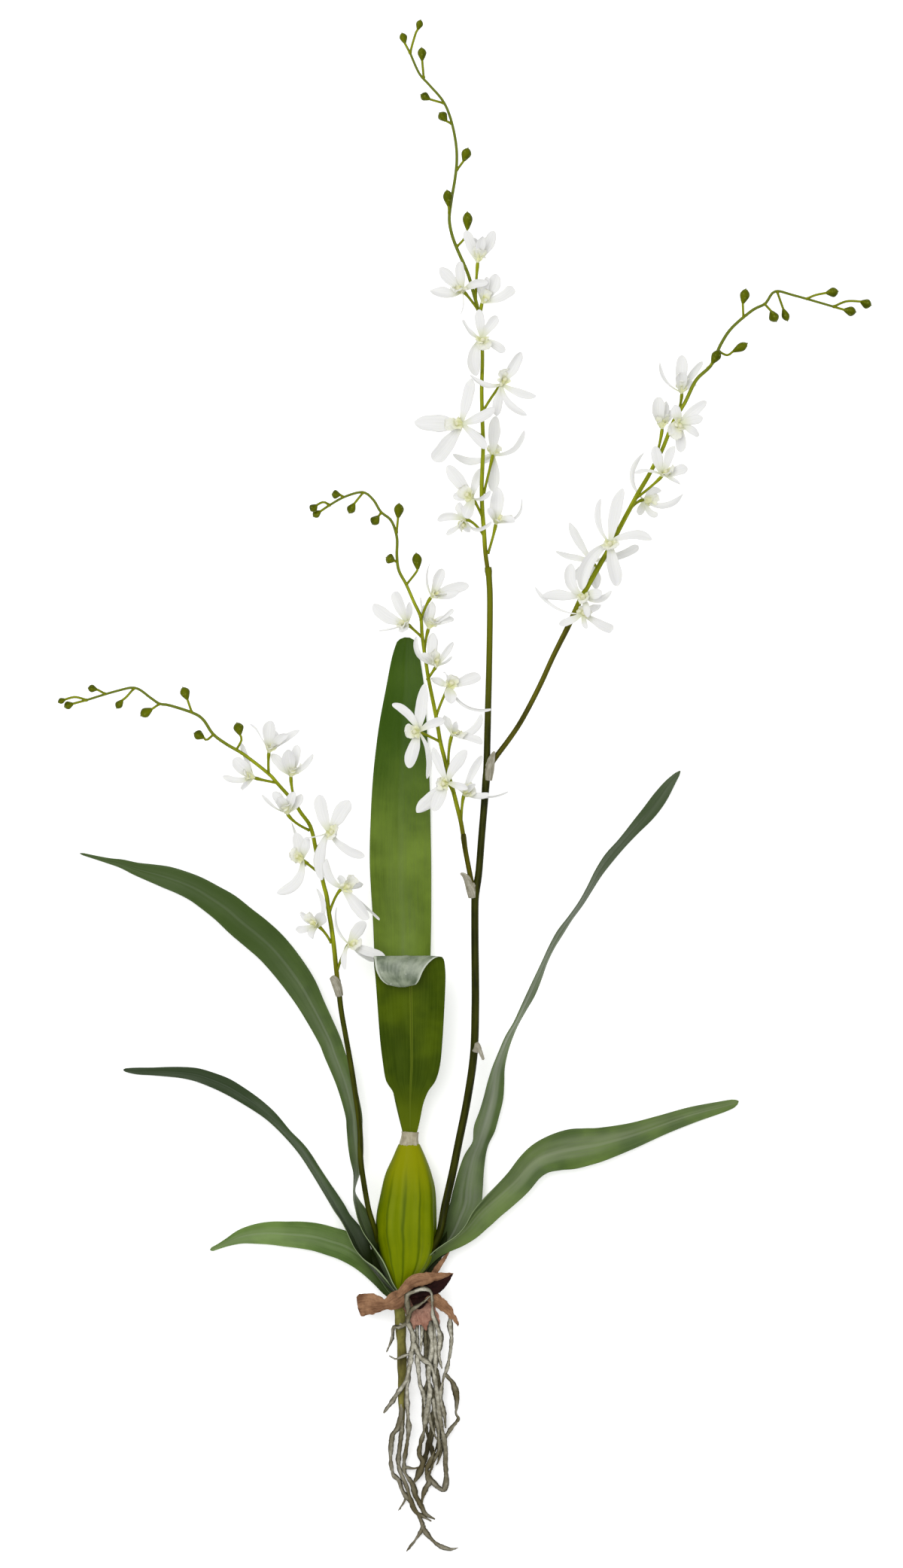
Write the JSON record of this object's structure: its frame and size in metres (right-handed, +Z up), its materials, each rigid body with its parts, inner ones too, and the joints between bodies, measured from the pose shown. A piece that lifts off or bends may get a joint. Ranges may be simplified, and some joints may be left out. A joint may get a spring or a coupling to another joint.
{
  "type": "bare-root orchid plant",
  "caption": "Whole orchid plant lying flat, with a ribbed pseudobulb, strap leaves, branching flower stems of small white narrow-petalled blooms and green buds, dry bracts and gnarled roots.",
  "frame": {"origin": "the middle of the flat spot under the pseudobulb, on the surface that the plant lies on", "axes": "+Y from the roots to the flowers, along the plant's length; +Z up from the surface to the viewer; +X to the right as the plant is looked down on"},
  "size_m": [0.5405, 1.0192, 0.0648],
  "materials": {
    "petal": "soft white, faintly translucent, with fine lengthwise veins and a cream lip",
    "spray": "yellow-green stalks and glossy mid-green buds",
    "scape": "dark olive, satin",
    "leaf": "dark to mid green, satin gloss, with a pale midrib line",
    "bulb": "yellow-green with darker ribs, satin gloss",
    "dry_sheath": "thin dry beige skin",
    "dry_bract": "dry reddish-brown, papery",
    "root": "grey-brown, rough and gnarled"
  },
  "bodies": {
    "root": {"pseudobulb": "bulb", "bulb_collar": "dry_sheath", "leaf_front": "leaf", "leaf_back": "leaf", "leaf_left_upper": "leaf", "leaf_left_middle": "leaf", "leaf_left_lower": "leaf", "leaf_right_upper": "leaf", "leaf_right_lower": "leaf", "bract_left": "dry_bract", "bract_right": "dry_bract", "bract_lower": "dry_bract", "aerial_roots": "root", "scape_main": "scape", "scape_left": "scape", "sheath_left": "dry_sheath", "sheath_middle": "dry_sheath", "sheath_right": "dry_sheath", "sheath_main": "dry_sheath", "spray_top": "spray", "spray_middle": "spray", "spray_right": "spray", "spray_left": "spray", "bloom_top_1": "petal", "bloom_top_2": "petal", "bloom_top_3": "petal", "bloom_top_4": "petal", "bloom_top_5": "petal", "bloom_top_6": "petal", "bloom_top_7": "petal", "bloom_top_8": "petal", "bloom_top_9": "petal", "bloom_top_10": "petal", "bloom_middle_1": "petal", "bloom_middle_2": "petal", "bloom_middle_3": "petal", "bloom_middle_4": "petal", "bloom_middle_5": "petal", "bloom_middle_6": "petal", "bloom_middle_7": "petal", "bloom_middle_8": "petal", "bloom_middle_9": "petal", "bloom_right_1": "petal", "bloom_right_2": "petal", "bloom_right_3": "petal", "bloom_right_4": "petal", "bloom_right_5": "petal", "bloom_right_6": "petal", "bloom_right_7": "petal", "bloom_right_8": "petal", "bloom_right_9": "petal", "bloom_left_1": "petal", "bloom_left_2": "petal", "bloom_left_3": "petal", "bloom_left_4": "petal", "bloom_left_5": "petal", "bloom_left_6": "petal", "bloom_left_7": "petal", "bloom_left_8": "petal", "bloom_left_9": "petal"}
  },
  "joints": []
}
